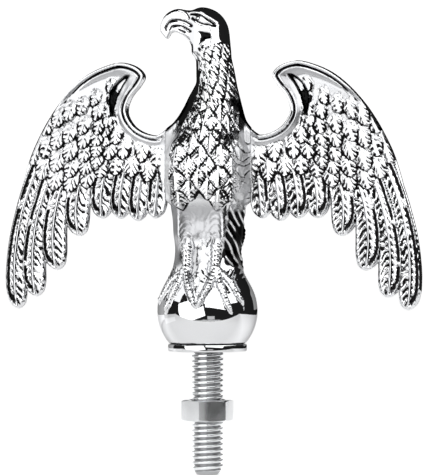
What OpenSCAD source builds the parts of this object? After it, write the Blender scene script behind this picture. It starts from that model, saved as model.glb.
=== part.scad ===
// Hood ornament: an eagle with raised wings on a ball, held down by a threaded stud and a hex nut.
// Millimetres. +X is to the right as seen from the front, +Y is backwards and +Z is up.
// The origin is the centre of the foot's underside, on the axis of the stud.

/* [Stud and nut] */
// Major diameter of the stud's thread
thread_d = 9.525; // [9:0.005:10]
// Length of stud below the seat
stud_length = 36.8; // [34:0.1:42]
// Length of stud inside the casting
stud_grip = 11; // [9:0.1:12]
// Distance from the seat down to the top face of the nut
nut_drop = 14.4; // [8:0.1:16]
// Height of the nut
nut_h = 6.4; // [5.5:0.1:7]
// Width of the nut across its flats
nut_af = 14.29; // [13.5:0.01:15]
// Turn of the nut about the stud, in degrees
nut_turn = 24; // [0:1:59]

/* [Ball and foot] */
// Radius of the ball
ball_r = 15; // [14.5:0.1:15.5]
// Height of the ball's middle above the seat
ball_z = 12.1; // [11.8:0.1:12.4]
// Radius of the foot plate
foot_r = 11.8; // [11.6:0.1:12.2]
// Thickness of the foot plate
foot_h = 2.5; // [2:0.1:3]

/* [Wings] */
// Distance of each wing's joint face from the middle
root_x = 13; // [12.6:0.1:13.2]
// How far behind the stud's axis the wings leave the body
wing_y = 2; // [1:0.1:3]
// Radius to which the wings curve backwards
sweep_r = 625; // [450:5:900]
// Diameter of the cross pins that hold the wings
pin_d = 2; // [1.6:0.1:2.2]

/* [Hidden] */
$fn = 64;
slip = 0.05;            // clearance between pieces that are fitted together
groove_h = 1.6;         // height of the relief groove in the stud
groove_r = thread_d / 2 - 0.9;
chamfer = 2.3;          // height of the cone at the stud's free end
nut_bottom = -nut_drop - nut_h;
insert_h = 10;
insert_af = 12;         // the insert is a hexagon outside, so it can't turn in the casting
insert_z = foot_h + 1;
tongue = [6, 3.6, 12];  // the block on each wing that enters the body
tongue_z = 54;          // middle height of the tongues
pin_x = 9.7;
pin_gap = 6;            // distance between the two pins of one wing
pin_front = -4;         // how far forward the pins reach
pin_length = 9.6;
ring_r = 10.4;          // outer radius of the cored ring in the ball, into which the foot plate fits
boss_r = 8.2;           // radius of the boss inside that ring
ring_h = 9.5;
beak_t = 4.8;           // thickness of the beak
hip = [4.6, -7, 36];    // top of the right shank
nut_edge_h = 0.3;       // height of the chamfer round the nut's corners
nut_edge_r = 0.5;       // how far that chamfer cuts into the corners
shoulder_r = 8.2;       // radius of the shoulders at the wings' joint faces

// Outlines turned into the trunk and into the neck and head: radius, height.
trunk_line = [
  [10.6, 18], [10.2, 24], [9.8, 29], [9.5, 34], [9.8, 39], [10.8, 43], [11.7, 47], [12.3, 52],
  [12.5, 57], [12.4, 62], [11.7, 66], [9.8, 70], [7, 74], [3, 76.5]
];
neck_line = [
  [6, -9], [7.8, -4], [8.6, 0], [8.4, 3], [7.5, 7], [6.6, 11], [6, 15], [5.6, 19], [5.6, 22],
  [5.8, 25], [6, 28],
  [5.4, 31], [4.2, 33], [2.4, 34.3], [1, 34.7]
];
// Side web of the body, to which the edges of both wings' roots run: distance from the middle, height.
web_edge = [[9, 35], [root_x, 43], [root_x, 64.5], [9, 71]];
web_t = 3.2;
trunk_y = -1.2;         // the breast stands forward of the stud's axis
neck_foot = [3.6, -0.8, 67];
neck_lean = -7.4;       // the neck leans to -X, the way the head looks

// The beak seen from the side, as the head is turned to -X.
beak_edge = [
  [-3.5, 100.8], [-5.8, 101.4], [-8.7, 101.9], [-11.3, 101], [-12.9, 99], [-13.6, 96.4],
  [-13.1, 94.8], [-11.8, 93.5], [-10.9, 94.6], [-9.7, 95.1], [-7.1, 94.1], [-5.5, 92.7], [-3.5, 91.8]
];

// Edge of a wing from the root round the wrist and down the outer side: distance from the middle, height.
wing_edge = [
  [root_x, 64.1], [15.8, 64.3], [19.6, 65.5], [22.8, 67.7], [24.7, 71.6], [23.7, 75.8],
  [20.7, 79.4], [19.5, 82.4], [22, 85.1], [26.9, 86.5], [32.2, 85.4], [37.2, 83], [41.8, 79.4],
  [46.6, 74.3], [50.3, 69], [53.3, 63.6], [55.7, 58.3], [57.5, 52.6], [59, 47], [60.2, 41.5],
  [61.1, 35.5], [61.8, 29], [62.4, 22], [62.5, 17.5]
];
wing_fill = [[57, 24], [50, 33], [43, 40], [35, 46], [root_x, 45]];

// Flight feathers: tip's distance from the middle, tip's height, width, lean in degrees, length.
feathers = [
  [59.6, 13, 5.8, 4, 34],
  [53.9, 16.7, 6.6, 6, 34],
  [47.3, 24.7, 7, 8, 28],
  [40.2, 34.9, 7, 9, 22],
  [32.9, 40.2, 6.6, 9, 16],
  [27.2, 40.1, 5.8, 10, 12],
  [21.8, 39.4, 5.8, 10, 12],
  [16.4, 40.1, 5.6, 9, 12]
];

// The inner edge of the plain arm, and the lower edge of the covert feathers.
arm_edge = [
  [43.5, 75], [38.5, 78.3], [33, 80.3], [28, 80.6], [25.8, 79], [28.8, 74.5], [29.2, 70], [26.5, 65.4],
  [21.5, 62], [root_x, 60]
];
covert_edge = [[50, 45], [46, 49.5], [38, 48.5], [31, 52.5], [23, 51.5], [root_x, 49.5]];

// Toes on the ball: knuckle and tip, each as distance to the right and height.
toes = [
  [[-8.2, 21.5], [-12.4, 15.4]],
  [[-6.4, 19.5], [-9.6, 12.6]],
  [[-3, 19.5], [-1.4, 13]],
  [[8, 21.5], [11.7, 15.2]],
  [[6, 19.5], [8.7, 12.8]],
  [[2.8, 19.8], [0.8, 14]]
];

// A point between b and c on a smooth curve that goes on to the neighbours a and d.
function bend(a, b, c, d, t) =
  0.5 * (2 * b + (c - a) * t + (2 * a - 5 * b + 4 * c - d) * t * t + (3 * b - a - 3 * c + d) * t * t * t);

// A smooth curve through the points of p, with n steps between neighbours.
function curve(p, n) = concat(
  [for (i = [0:len(p) - 2], k = [0:n - 1])
    bend(p[max(i - 1, 0)], p[i], p[i + 1], p[min(i + 2, len(p) - 1)], k / n)],
  [p[len(p) - 1]]);

// The point of the ball's front surface at a distance x to the right and a height z.
function on_ball(x, z) = [x, -sqrt(max(ball_r * ball_r - x * x - pow(z - ball_z, 2), 1)), z];

// A turned solid with a smooth outline.
module turned(line) {
  smooth = curve(line, 3);
  low = line[0][1];
  high = line[len(line) - 1][1];
  rotate([0, 0, 90])
    rotate_extrude()
      polygon(concat([[0, low]], smooth, [[0, high]]));
}

// A round bar from a to b, tapering from radius ra to rb, with slightly fuller knuckles at both ends.
module bar(a, b, ra, rb) {
  d = b - a;
  translate(a)
    rotate([0, acos(d[2] / norm(d)), atan2(d[1], d[0])])
      cylinder(h = norm(d), r1 = ra, r2 = rb);
  translate(a)
    sphere(ra * 1.07);
  translate(b)
    sphere(rb * 1.07);
}

// One toe: down from the ankle over the knuckle to the claw, which ends on the ball.
module toe(side, knuckle, tip) {
  ankle = [side * hip[0], -9.6, 24.2];
  middle = on_ball(knuckle[0], knuckle[1]);
  bar(ankle, middle, 2.1, 1.9);
  bar(middle, on_ball(tip[0], tip[1]), 1.75, 1.1);
}

// The rounded shoulder that each wing is fitted to, from the trunk out to the joint face.
module shoulder(side) {
  translate([0, wing_y, tongue_z])
    rotate([0, side * 90, 0])
      cylinder(h = root_x, r1 = 11, r2 = shoulder_r);
}

// The tongue of the right wing, grown by a clearance.
module wing_tongue(gap = 0) {
  translate([root_x - tongue[0] - gap, wing_y - tongue[1] / 2 - gap, tongue_z - tongue[2] / 2 - gap])
    cube([tongue[0] + 2 * gap, tongue[1] + 2 * gap, tongue[2] + 2 * gap]);
}

// The four cross pins, or the holes for them when grown by a clearance.
module pins(gap = 0) {
  for (side = [-1, 1], up = [-1, 1])
    translate([side * pin_x, pin_front - gap, tongue_z + up * pin_gap / 2])
      rotate([-90, 0, 0])
        cylinder(h = pin_length + 2 * gap, d = pin_d + gap / 2);
}

module eagle_body() {
  color("silver")
    difference() {
      union() {
        translate([0, 0, ball_z])
          sphere(ball_r);
        translate([0, trunk_y, 0])
          turned(trunk_line);
        translate(neck_foot)
          rotate([0, neck_lean, 0])
            turned(neck_line);
        shoulder(-1);
        shoulder(1);
        translate([0, wing_y + web_t / 2, 0])
          rotate([90, 0, 0])
            linear_extrude(web_t)
              polygon(concat(web_edge, [for (i = [3:-1:0]) [-web_edge[i][0], web_edge[i][1]]]));
        translate([0, beak_t / 2, 0])
          rotate([90, 0, 0])
            linear_extrude(beak_t)
              polygon(curve(beak_edge, 3));
        for (side = [-1, 1])
          bar([side * hip[0], hip[1], hip[2]], [side * hip[0], -9.2, 24.5], 3.6, 2.4);
        for (i = [0:len(toes) - 1])
          toe(i < 3 ? -1 : 1, toes[i][0], toes[i][1]);
      }
      // flat underside
      translate([-20, -20, -10])
        cube([40, 40, 10 + foot_h]);
      // cored ring round the central boss
      difference() {
        translate([0, 0, foot_h - 1])
          cylinder(h = ring_h + 1, r = ring_r);
        translate([0, 0, foot_h + 1])
          cylinder(h = ring_h + 1, r = boss_r);
      }
      // pocket for the insert, and run-out for the tip of the stud
      translate([0, 0, foot_h])
        cylinder(h = insert_h + 1 + slip, d = (insert_af + 2 * slip) / cos(30), $fn = 6);
      translate([0, 0, foot_h])
        cylinder(h = insert_h + 4, d = thread_d + 0.3);
      for (side = [0, 1])
        mirror([side, 0, 0])
          wing_tongue(slip);
      pins(slip);
    }
}

// A part of the wing between two curved faces, in front of and behind its middle surface.
module wing_layer(front, back) {
  intersection() {
    translate([0, 20, 0])
      rotate([90, 0, 0])
        linear_extrude(40)
          children();
    translate([0, wing_y + sweep_r, 0])
      difference() {
        cylinder(h = 100, r = sweep_r + front, $fn = 720);
        translate([0, 0, -1])
          cylinder(h = 102, r = sweep_r - back, $fn = 720);
      }
  }
}

// One flight feather's outline, from its row in the list.
module feather(f) {
  translate([f[0], f[1]])
    rotate(f[3])
      union() {
        translate([0, f[2] / 2])
          circle(d = f[2]);
        translate([-f[2] / 2, f[2] / 2])
          square([f[2], f[4] - f[2]]);
      }
}

// The whole outline of a wing.
module wing_shape() {
  polygon(concat(curve(wing_edge, 3), wing_fill));
  for (f = feathers)
    feather(f);
}

// The right wing, with the tongue that enters the body.
module wing() {
  difference() {
    union() {
      intersection() {
        union() {
          wing_layer(1.1, 1.1)
            wing_shape();
          wing_layer(1.9, 1.4)
            intersection() {
              wing_shape();
              polygon(concat(curve(wing_edge, 3), curve(covert_edge, 3)));
            }
          wing_layer(2.7, 2.1)
            intersection() {
              polygon(curve(wing_edge, 3));
              polygon(concat(curve([for (i = [0:13]) wing_edge[i]], 3), curve(arm_edge, 3)));
            }
          translate([root_x - 1, wing_y, tongue_z])
            rotate([0, 90, 0])
              cylinder(h = 5.5, r1 = shoulder_r + 0.8, r2 = 4);
        }
        translate([root_x, -30, 0])
          cube([80, 80, 100]);
      }
      wing_tongue();
    }
    pins(slip);
  }
}

module left_wing() {
  color("silver")
    mirror([1, 0, 0])
      wing();
}

module right_wing() {
  color("silver")
    wing();
}

module wing_pins() {
  color("gray")
    pins();
}

// The turned plate that closes the ball, with the face that seats on the car.
module foot_plate() {
  color("silver")
    difference() {
      union() {
        cylinder(h = foot_h, r = foot_r);
        cylinder(h = foot_h + 2.5, r = ring_r - slip);
      }
      translate([0, 0, -1])
        cylinder(h = foot_h + 5, r = thread_d / 2 + 0.15);
      // room for the boss and the insert inside the casting
      translate([0, 0, foot_h])
        cylinder(h = 4, r = boss_r + slip);
    }
}

module thread_insert() {
  color("gray")
    translate([0, 0, insert_z])
      difference() {
        cylinder(h = insert_h, d = insert_af / cos(30), $fn = 6);
        translate([0, 0, -1])
          cylinder(h = insert_h + 2, d = thread_d + slip);
      }
}

// The stud, drawn at its thread's major diameter. A relief groove hidden by the nut parts the free end.
module stud() {
  color("gray")
    difference() {
      union() {
        translate([0, 0, chamfer - stud_length])
          cylinder(h = stud_length + foot_h + stud_grip - chamfer, d = thread_d);
        translate([0, 0, -stud_length])
          cylinder(h = chamfer, d1 = 6.2, d2 = thread_d);
      }
      translate([0, 0, nut_bottom])
        difference() {
          cylinder(h = groove_h, d = thread_d + 1);
          translate([0, 0, -1])
            cylinder(h = groove_h + 2, r = groove_r);
        }
    }
}

// Plain hex nut with chamfered corners and a chamfered bore.
module hex_nut() {
  corner_r = nut_af / 2 / cos(30);
  color("gray")
    translate([0, 0, nut_bottom])
      difference() {
        intersection() {
          rotate(nut_turn)
            cylinder(h = nut_h, r = corner_r, $fn = 6);
          union() {
            cylinder(h = nut_edge_h, r1 = corner_r - nut_edge_r, r2 = corner_r + slip);
            translate([0, 0, nut_edge_h])
              cylinder(h = nut_h - 2 * nut_edge_h, r = corner_r + slip);
            translate([0, 0, nut_h - nut_edge_h])
              cylinder(h = nut_edge_h, r1 = corner_r + slip, r2 = corner_r - nut_edge_r);
          }
        }
        translate([0, 0, -1])
          cylinder(h = nut_h + 2, d = thread_d + 2 * slip);
        translate([0, 0, -0.01])
          cylinder(h = 0.7, r1 = thread_d / 2 + 0.75, r2 = thread_d / 2 + slip);
        translate([0, 0, nut_h - 0.69])
          cylinder(h = 0.7, r1 = thread_d / 2 + slip, r2 = thread_d / 2 + 0.75);
      }
}

eagle_body();
left_wing();
right_wing();
wing_pins();
foot_plate();
thread_insert();
stud();
hex_nut();
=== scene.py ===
"""Hood ornament: a chrome eagle with raised wings on a ball, with its threaded stud and hex nut.

Shapes are worked out in millimetres in the CAD's frame: +X right seen from the front, +Y back, +Z up,
origin at the centre of the foot's underside.
"""
import math

import bpy
import numpy as np
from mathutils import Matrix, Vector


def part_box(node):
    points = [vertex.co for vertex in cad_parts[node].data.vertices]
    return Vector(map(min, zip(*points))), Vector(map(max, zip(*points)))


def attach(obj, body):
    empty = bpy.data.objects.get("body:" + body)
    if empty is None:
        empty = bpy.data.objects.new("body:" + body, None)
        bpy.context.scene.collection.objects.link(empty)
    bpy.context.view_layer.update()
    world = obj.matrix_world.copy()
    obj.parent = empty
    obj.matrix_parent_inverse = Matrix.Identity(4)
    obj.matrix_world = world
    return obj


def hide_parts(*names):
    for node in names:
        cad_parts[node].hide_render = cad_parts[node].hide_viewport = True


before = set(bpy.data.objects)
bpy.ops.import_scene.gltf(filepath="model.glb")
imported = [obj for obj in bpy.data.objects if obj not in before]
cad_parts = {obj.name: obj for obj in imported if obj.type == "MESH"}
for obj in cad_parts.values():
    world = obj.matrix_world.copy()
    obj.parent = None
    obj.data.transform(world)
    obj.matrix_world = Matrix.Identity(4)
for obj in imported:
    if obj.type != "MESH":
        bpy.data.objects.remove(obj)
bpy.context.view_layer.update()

import openvdb
from mathutils import Quaternion, Vector

MM = 0.001
BODY_STEP = 0.325  # grid of the body's surface
WING_STEP = 0.285  # grid of the wings' surfaces

scene = bpy.context.scene


def box_mm(node):
    """The corners of a CAD node's box, in millimetres."""
    low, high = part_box(node)
    return np.array(low) / MM, np.array(high) / MM


# ---------------------------------------------------------------- driving dimensions, from the frame
stud_low, stud_high = box_mm("stud")
nut_low, nut_high = box_mm("hex_nut")
STUD_R = stud_high[0]
STUD_BOTTOM = stud_low[2]
FOOT_R = box_mm("foot_plate")[1][0]
FOOT_H = box_mm("eagle_body")[0][2]
BALL_R = 15.0
BALL_Z = 12.1
ROOT_X = box_mm("right_wing")[0][0] + 6.0  # the joint face of each wing, past its tongue
WING_Y = 2.0  # middle plane of the wings' roots
SWEEP_R = 625.0  # of the wings' backward curve
PLATE_HALF = 0.75  # half the wings' plate, without feathers
WING_LOW, WING_HIGH = (12.4, -5.8, 11.2), (64.2, 5.2, 88.0)  # a box round the right wing, before its sweep
ANKLE = (4.3, -9.6, 24.2)  # where the right leg's toes begin
PITCH = 1.5875  # of the thread
THREAD_DEPTH = 0.9
NUT_AF = 14.29  # across the flats
NUT_TURN = 24.0  # degrees


# ---------------------------------------------------------------- curves and noise
def curve(points, n=6):
    """A smooth line through the points, with n steps between neighbours."""
    p = np.array(points, float)
    q = np.vstack([2 * p[0] - p[1], p, 2 * p[-1] - p[-2]])
    t = np.linspace(0, 1, n, endpoint=False)[:, None]
    out = []
    for a, b, c, d in zip(q[:-3], q[1:-2], q[2:-1], q[3:]):
        out.append(0.5 * (2 * b + (c - a) * t + (2 * a - 5 * b + 4 * c - d) * t**2
                          + (3 * b - a - 3 * c + d) * t**3))
    return np.vstack(out + [p[-1:]])


def closed(points):
    """A smooth closed line through the points."""
    return curve(points + points[:1], 5)[:-1]


def along(table, z):
    """Columns of a table of sections, smoothly read at heights z."""
    line = curve(table, 8)
    order = np.argsort(line[:, 0])
    return [np.interp(z, line[order, 0], line[order, k]) for k in range(1, line.shape[1])]


def smooth_step(a, b, x):
    t = np.clip((x - a) / (b - a), 0, 1)
    return t * t * (3 - 2 * t)


def fall(a, b, x):
    """1 up to a, easing to 0 at b."""
    return 1 - smooth_step(a, b, x)


def mix(a, b, share):
    """a where share is 0, b where it is 1."""
    return a + (b - a) * share


def within(x, a, b, c, d):
    """1 from b to c, easing to 0 at a and at d."""
    return smooth_step(a, b, x) * fall(c, d, x)


def bell(x, width, power=2):
    """A peak of height 1 at zero, flat-topped for the higher powers."""
    return np.exp(-((x / width) ** power))


def domed(inward, width):
    """From 0 at an edge to 1 at that width inside it: straight, and rounded like a quarter circle."""
    edge = np.clip(inward / width, 0, 1)
    return edge, np.sqrt(1 - (1 - edge) ** 2)


def pillow(q, half):
    """1 in the middle of a feather and 0 at its sides."""
    return 1 - np.clip(q / np.maximum(half, 0.01), -1, 1) ** 2


def smooth_min(a, b, k):
    h = np.clip(0.5 + 0.5 * (b - a) / k, 0, 1)
    return b * (1 - h) + a * h - k * h * (1 - h)


def smooth_max(a, b, k):
    return -smooth_min(-a, -b, k)


def hash01(i, j, seed=0):
    """A fixed random number from 0 to 1 for each pair of whole numbers."""
    v = (i.astype(np.int64) * 374761393 + j.astype(np.int64) * 668265263 + seed * 974634777) & 0xFFFFFFFF
    v = ((v ^ (v >> 13)) * 1274126177) & 0xFFFFFFFF
    return ((v ^ (v >> 16)) & 0xFFFFFF) / float(0x1000000)


def wobble(x, y, size, seed=0):
    """Smooth noise from -1 to 1, in blobs of that size."""
    x, y = x / size, y / size
    i, j = np.floor(x), np.floor(y)
    u, v = x - i, y - j
    u, v = u * u * (3 - 2 * u), v * v * (3 - 2 * v)
    low = hash01(i, j, seed) * (1 - u) + hash01(i + 1, j, seed) * u
    high = hash01(i, j + 1, seed) * (1 - u) + hash01(i + 1, j + 1, seed) * u
    return 2 * (low * (1 - v) + high * v) - 1


def line_distance(x, y, line):
    """Distance from points to an open line of points."""
    best = np.full(np.broadcast(x, y).shape, 1e9)
    for (ax, ay), (bx, by) in zip(line[:-1], line[1:]):
        dx, dy = bx - ax, by - ay
        t = np.clip(((x - ax) * dx + (y - ay) * dy) / (dx * dx + dy * dy + 1e-12), 0, 1)
        best = np.minimum(best, (x - ax - t * dx) ** 2 + (y - ay - t * dy) ** 2)
    return np.sqrt(best)


def inside(x, y, line):
    """Whether points are inside a closed line."""
    hit = np.zeros(np.broadcast(x, y).shape, bool)
    for (ax, ay), (bx, by) in zip(line, np.roll(line, -1, axis=0)):
        if ay == by:
            continue
        cross = (ay > y) != (by > y)
        hit ^= cross & (x < (bx - ax) * (y - ay) / (by - ay) + ax)
    return hit


def signed_distance(x, y, line):
    """Distance to a closed line, negative inside it."""
    d = line_distance(x, y, np.vstack([line, line[:1]]))
    return np.where(inside(x, y, line), -d, d)


# ---------------------------------------------------------------- meshes from fields
def surface(field, low, step):
    """Points and quads of the surface where a field on a grid is zero; the field is negative inside."""
    grid = openvdb.FloatGrid(4.0)
    grid.copyFromArray(np.ascontiguousarray(field, np.float32))
    points, quads = grid.convertToQuads(0.0)[:2]
    points = np.array(points, float) * step + np.array(low)
    quads = np.array(quads, np.int64)
    a, b, c, d = (points[quads[:, k]] for k in range(4))
    volume = (np.einsum("ij,ij->i", a, np.cross(b, c)) + np.einsum("ij,ij->i", a, np.cross(c, d))).sum()
    return points, quads if volume > 0 else quads[:, ::-1]


def normals(points, quads):
    """A unit normal for each point."""
    a, b, c, d = (points[quads[:, k]] for k in range(4))
    n = np.cross(c - a, d - b)
    out = np.zeros_like(points)
    for k in range(4):
        np.add.at(out, quads[:, k], n)
    return out / np.maximum(np.linalg.norm(out, axis=1, keepdims=True), 1e-12)


def place(name, data):
    """An object of the scene that holds the given mesh, light or camera."""
    obj = bpy.data.objects.new(name, data)
    scene.collection.objects.link(obj)
    return obj


def make_mesh(name, points, faces, material):
    """A smooth-shaded mesh from points in metres."""
    mesh = bpy.data.meshes.new(name)
    mesh.from_pydata(points, [], faces)
    mesh.validate()
    mesh.polygons.foreach_set("use_smooth", [True] * len(mesh.polygons))
    mesh.materials.append(material)
    return mesh


def make_object(name, points, faces, material, body, nodes, layers=None, sharp=None):
    """A smooth-shaded piece from points in millimetres, riding on a body in place of CAD nodes."""
    mesh = make_mesh(name, (np.asarray(points) * MM).tolist(), [list(map(int, f)) for f in faces], material)
    for key, values in (layers or {}).items():
        layer = mesh.attributes.new(key, "FLOAT", "POINT")
        layer.data.foreach_set("value", np.asarray(values, np.float32))
    if sharp is not None:
        mesh.set_sharp_from_angle(angle=math.radians(sharp))
    obj = place(name, mesh)
    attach(obj, body)
    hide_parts(*nodes)
    return obj


# ---------------------------------------------------------------- the eagle's body
# Sections of the trunk, neck and nape: height, middle, half width, front and back.
BODY_SECTIONS = [
    (12, 0, 11.0, -9.5, 10.4), (18, 0, 11.0, -9.6, 10.2), (24, 0, 10.3, -9.0, 9.6), (28, 0, 9.6, -8.6, 9.0),
    (33, 0, 9.3, -8.2, 8.5), (38, 0, 9.4, -8.6, 8.3), (42, 0, 9.5, -9.6, 8.5),
    (47, 0, 9.6, -11.2, 8.8), (52, 0, 9.7, -12.2, 8.8), (57, 0.1, 9.8, -12.2, 8.6),
    (62, 0.3, 9.7, -11.4, 8.2), (66, 0.8, 9.3, -10.2, 7.8), (68.5, 1.2, 8.8, -9.4, 7.4),
    (71, 1.7, 8.2, -8.6, 7.0), (74.6, 2.4, 7.3, -7.4, 6.6), (79, 2.8, 6.2, -6.4, 6.2),
    (83, 2.5, 5.8, -5.7, 5.6), (87, 2.0, 5.4, -5.1, 5.0), (90, 1.7, 5.2, -4.8, 4.7),
    (93, 1.5, 4.7, -4.4, 4.4), (97, 1.2, 4.0, -4.0, 4.0),
]
# The head and beak seen from the side, as they are turned to -X.
HEAD_EDGE = [
    (6.7, 92.0), (6.6, 95.2), (5.6, 98.3), (3.5, 100.8), (0.8, 102.2), (-1.9, 102.6), (-4.4, 101.8),
    (-6.2, 101.8), (-9.0, 102.2), (-11.8, 101.2), (-13.6, 99.2), (-14.4, 96.6), (-13.8, 94.8),
    (-12.3, 93.2), (-11.5, 94.0), (-10.9, 95.0), (-9.6, 95.2), (-7.5, 94.3), (-5.8, 92.9), (-4.7, 91.0),
    (-4.0, 88.0), (1.5, 86.0), (6.0, 88.0),
]
# The thin sides of the body that run out to the wings' joint faces, right half: distance, height.
WEB_EDGE = [
    (5.0, 30.0), (9.0, 34.0), (9.6, 39.0), (10.8, 42.2), (12.0, 43.8), (13.2, 44.6), (17.0, 44.9),
    (17.0, 64.8),
    (14.6, 65.4), (13.2, 66.5), (11.3, 68.3), (9.6, 70.3), (7.8, 73.0), (6.2, 76.0), (4.5, 78.0),
]
FLANK_TURN = 60.0  # degrees the flanks face away from the front
FEATHER_COLUMNS = 13  # feathers round the neck and trunk


class Clay:
    """A grid over a box that shapes are added to, smoothly blended."""

    def __init__(self, low, high, step):
        self.low = np.array(low, float)
        self.step = step
        self.count = np.ceil((np.array(high) - self.low) / step).astype(int) + 1
        self.field = np.full(self.count, 4.0)

    def part(self, low, high):
        """Slices and coordinates of the grid points in a box."""
        a = np.clip(np.floor((np.array(low) - self.low) / self.step).astype(int), 0, self.count - 2)
        b = np.clip(np.ceil((np.array(high) - self.low) / self.step).astype(int) + 1, a + 2, self.count)
        cut = tuple(slice(i, j) for i, j in zip(a, b))
        axes = [self.low[k] + self.step * np.arange(a[k], b[k]) for k in range(3)]
        return cut, np.meshgrid(*axes, indexing="ij", sparse=True)

    def add(self, shape, low, high, blend):
        """Blends a shape into the grid points of a box."""
        cut, (x, y, z) = self.part(low, high)
        blend = blend(x) if callable(blend) else blend
        self.field[cut] = smooth_min(self.field[cut], shape(x, y, z), blend)

    def rod(self, a, b, ra, rb, blend):
        """A round bar from a to b, of radius ra to rb, with domed ends."""
        a, b = np.array(a, float), np.array(b, float)
        d = b - a

        def shape(x, y, z):
            t = ((x - a[0]) * d[0] + (y - a[1]) * d[1] + (z - a[2]) * d[2]) / (d @ d)
            t = np.clip(t, 0, 1)
            away = (x - a[0] - t * d[0]) ** 2 + (y - a[1] - t * d[1]) ** 2 + (z - a[2] - t * d[2]) ** 2
            return np.sqrt(away) - mix(ra, rb, t)

        reach = max(ra, rb) + 2 * blend + 1
        self.add(shape, np.minimum(a, b) - reach, np.maximum(a, b) + reach, blend)

    def chain(self, points, radii, blend):
        """Rods from point to point."""
        for a, b, ra, rb in zip(points, points[1:], radii, radii[1:]):
            self.rod(a, b, ra, rb, blend)


def ball_shape(x, y, z):
    """Distance outside the ball."""
    return np.sqrt(x**2 + y**2 + (z - BALL_Z) ** 2) - BALL_R


def on_ball(x, z, out=0.0):
    """The point of the ball's front surface at x and z, moved outwards."""
    y = -math.sqrt(max(BALL_R**2 - x * x - (z - BALL_Z) ** 2, 1))
    k = 1 + out / BALL_R
    return np.array([x * k, y * k, BALL_Z + (z - BALL_Z) * k])


def trunk_shape(x, y, z):
    """The trunk and neck; the trunk is flatter in front than an ellipse, with quickly turning sides."""
    middle, half, front, back = along(BODY_SECTIONS, z)
    depth = np.where(y < 0, -front, back)
    power = 2 + 0.6 * fall(54, 66, z)
    d = ((np.abs(x - middle) / half) ** power + (np.abs(y) / depth) ** power) ** (1 / power)
    return (d - 1) * np.minimum(half, depth) * 0.95


def head_shape(x, y, z):
    """The outline of the head, swelled to a rounded solid whose thickness shrinks towards the beak."""
    d = -signed_distance(x[:, 0, :], z[0, :, :], closed(HEAD_EDGE))
    half = np.interp(x[:, 0, 0], [-14, -11, -7, -4.8, -3, 0, 4, 7], [1.3, 1.7, 2.4, 3.0, 4.2, 4.9, 4.6, 3.6])
    radius = np.interp(x[:, 0, 0], [-14, -9, -5, -1, 3], [0.8, 0.9, 1.6, 2.4, 5.4])[:, None]
    side = 1 - np.minimum(d / radius, 1)
    power = np.interp(x, [-6, -2], [3.0, 2.0])
    r = (np.abs(y / half[:, None, None]) ** power + side[:, None, :] ** power) ** (1 / power)
    return (r - 1) * np.minimum(half, radius[:, 0])[:, None, None]


def root_half(z, front):
    """Half thickness of the body's sides and of the wings' roots where they meet, at height z."""
    full = 2.4 if front else 2.2
    return 1.5 + (full - 1.5) * smooth_step(46, 52, z) * (1 - 0.7 * smooth_step(58, 65.5, z))


def web_distance(x, z):
    """Signed distance to the outline of the body's sides, which leans to the right above the wings."""
    return signed_distance(np.abs(x - 0.8 * smooth_step(66, 70, z)), z, curve(WEB_EDGE, 4))


def web_shape(x, y, z):
    """The flat sides that meet the wings, thick in the middle and rounded at their edges."""
    d = web_distance(x[:, 0, :], z[0, :, :])
    half = np.where(y < WING_Y, root_half(z, True), root_half(z, False))
    edge = np.clip(1 + d / 1.6, 0, None)[:, None, :]
    across = (y - WING_Y) / half
    shape = (np.sqrt(edge**2 + across**2) - 1) * 1.6
    return np.maximum(shape, np.abs(x) - ROOT_X)


def flank_shape(x, y, z):
    """Sloping sides that run from the breast out to the wings' roots."""
    d = web_distance(x[:, 0, :], z[0, :, :])[:, None, :]
    turn = math.radians(FLANK_TURN)
    slope = (np.abs(x) - ROOT_X) * math.sin(turn) - (y - WING_Y + root_half(z, True)) * math.cos(turn)
    ends = np.maximum((d + 2.0) * 0.7, (z - 61) * 0.7)
    return np.maximum(np.maximum(smooth_max(slope, ends, 2.0), y - WING_Y), np.abs(x) - ROOT_X)


def toe(clay, side, knuckle, tip):
    """One toe lying over the ball, with joints and a hooked claw."""
    ankle = np.array([side * ANKLE[0], ANKLE[1], ANKLE[2]])
    a = on_ball(*knuckle, 0.45)
    b = on_ball(*tip, 0.15)
    mid = on_ball((knuckle[0] + tip[0]) / 2, (knuckle[1] + tip[1]) / 2, 0.4)
    lift = on_ball((ankle[0] + knuckle[0]) / 2, (ankle[2] + knuckle[1]) / 2, 0.6)
    clay.chain([ankle, lift, a, mid, b], [1.5, 1.1, 1.15, 0.9, 0.85], 0.3)
    step = np.array([tip[0] - knuckle[0], tip[1] - knuckle[1]])
    step = step / np.linalg.norm(step)
    claw = [on_ball(tip[0] + s * step[0], tip[1] + s * step[1], o)
            for s, o in ((0.0, 0.45), (1.0, 0.55), (2.0, 0.25), (2.8, -0.2))]
    clay.chain(claw, [0.75, 0.65, 0.45, 0.2], 0.15)


# Each toe: side, knuckle and tip as distance from the middle and height.
TOES = [
    (-1, (-8.6, 20.8), (-11.6, 16.4)), (-1, (-6.6, 19.6), (-9.2, 14.2)), (-1, (-3.0, 19.4), (-1.4, 15.6)),
    (1, (8.4, 20.8), (11.2, 16.4)), (1, (6.2, 19.6), (8.6, 14.2)), (1, (3.0, 19.4), (1.2, 15.8)),
]


def leg(clay, side):
    """The scaly shank in half relief on the column, its toes and the claw of the hind toe."""
    shank = [(4.4, -7.2, 36), (4.4, -8.2, 31), (4.3, -8.9, 27), ANKLE]
    clay.chain([(side * x, y, z) for x, y, z in shank], [1.0, 1.5, 1.4, 1.6], 0.5)
    for which, knuckle, tip in TOES:
        if which == side:
            toe(clay, side, knuckle, tip)


def inner_tail(clay):
    """The end of the tail between the legs, a rounded slab that narrows over the ball."""
    clay.chain([(0, -4.8, 40), (0, -6.2, 33), (0, -7.6, 27), (0, -10.6, 21.5), (0, -12.6, 17.8)],
               [3.0, 3.0, 3.2, 2.5, 1.2], 1.0)


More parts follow.
